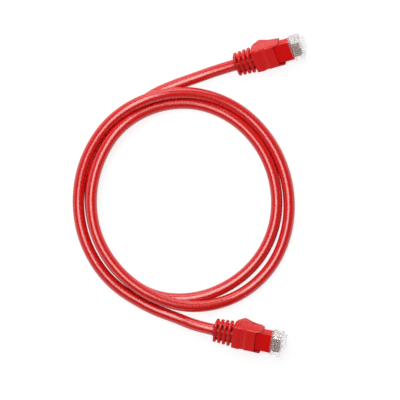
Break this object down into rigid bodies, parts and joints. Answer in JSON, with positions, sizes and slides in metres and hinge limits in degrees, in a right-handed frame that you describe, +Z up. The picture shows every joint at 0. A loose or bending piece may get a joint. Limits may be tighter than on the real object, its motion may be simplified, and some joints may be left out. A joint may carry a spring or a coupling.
{
  "type": "ethernet patch cable",
  "caption": "Short network patch cable: a round jacketed cable in a loose coil with a clear modular plug, latch and ribbed snagless boot at each end.",
  "frame": {"origin": "on the table, under the centre of the box round the two plugs with their boots; the free cable is left out of that box", "axes": "+Z up from the table, +Y from plug B towards plug A, +X the way both plugs point"},
  "size_m": [0.1173, 0.1612, 0.0212],
  "materials": {
    "clear_plastic": "clear polycarbonate, polished mould",
    "contact_gold": "gold-plated phosphor bronze",
    "boot_red": "soft PVC, fine moulded satin",
    "jacket_red": "extruded PVC, soft gloss",
    "wire_white_orange": "white with an orange stripe",
    "wire_orange": "solid orange",
    "wire_white_green": "white with a green stripe",
    "wire_blue": "solid blue",
    "wire_white_blue": "white with a blue stripe",
    "wire_green": "solid green",
    "wire_white_brown": "white with a brown stripe",
    "wire_brown": "solid brown",
    "copper": "bare copper"
  },
  "bodies": {
    "root": {"plug_body_a": "clear_plastic", "contacts_a": "contact_gold", "load_bar_a": "clear_plastic", "cable_clamp_a": "clear_plastic", "boot_a": "boot_red", "jacket_end_a": "jacket_red", "wire_white_orange_a": "wire_white_orange", "wire_orange_a": "wire_orange", "wire_white_green_a": "wire_white_green", "wire_blue_a": "wire_blue", "wire_white_blue_a": "wire_white_blue", "wire_green_a": "wire_green", "wire_white_brown_a": "wire_white_brown", "wire_brown_a": "wire_brown", "conductors_a": "copper", "plug_body_b": "clear_plastic", "contacts_b": "contact_gold", "load_bar_b": "clear_plastic", "cable_clamp_b": "clear_plastic", "boot_b": "boot_red", "jacket_end_b": "jacket_red", "wire_white_orange_b": "wire_white_orange", "wire_orange_b": "wire_orange", "wire_white_green_b": "wire_white_green", "wire_blue_b": "wire_blue", "wire_white_blue_b": "wire_white_blue", "wire_green_b": "wire_green", "wire_white_brown_b": "wire_white_brown", "wire_brown_b": "wire_brown", "conductors_b": "copper", "cable_jacket": "jacket_red", "pair_orange": "wire_orange", "pair_blue": "wire_blue", "pair_brown": "wire_brown", "pair_green": "wire_green"},
    "latch_a": {"latch_lever_a": "clear_plastic"},
    "tongue_a": {"boot_tongue_a": "boot_red"},
    "latch_b": {"latch_lever_b": "clear_plastic"},
    "tongue_b": {"boot_tongue_b": "boot_red"}
  },
  "joints": [
    {"name": "tongue_a_press", "type": "hinge", "parent": "root", "child": "tongue_a", "pos_m": [-0.00052, 0.07041, 0.0062], "axis": [0.3483, -0.8274, -0.4405], "range_deg": [0, 15], "stiffness_Nm_per_rad": 0.06},
    {"name": "latch_a_press", "type": "hinge", "parent": "root", "child": "latch_a", "pos_m": [0.01943, 0.07591, 0.01164], "axis": [-0.3483, 0.8274, 0.4405], "range_deg": [0, 10], "stiffness_Nm_per_rad": 0.06},
    {"name": "tongue_b_press", "type": "hinge", "parent": "root", "child": "tongue_b", "pos_m": [-0.01015, -0.06762, 0.00644], "axis": [-0.1019, -0.8887, -0.4471], "range_deg": [0, 15], "stiffness_Nm_per_rad": 0.06},
    {"name": "latch_b_press", "type": "hinge", "parent": "root", "child": "latch_b", "pos_m": [0.01042, -0.07198, 0.01042], "axis": [0.1019, 0.8887, 0.4471], "range_deg": [0, 10], "stiffness_Nm_per_rad": 0.06}
  ],
  "couplings": [
    {"joint": "latch_a_press", "follows": "tongue_a_press", "ratio": 0.66},
    {"joint": "latch_b_press", "follows": "tongue_b_press", "ratio": 0.66}
  ]
}
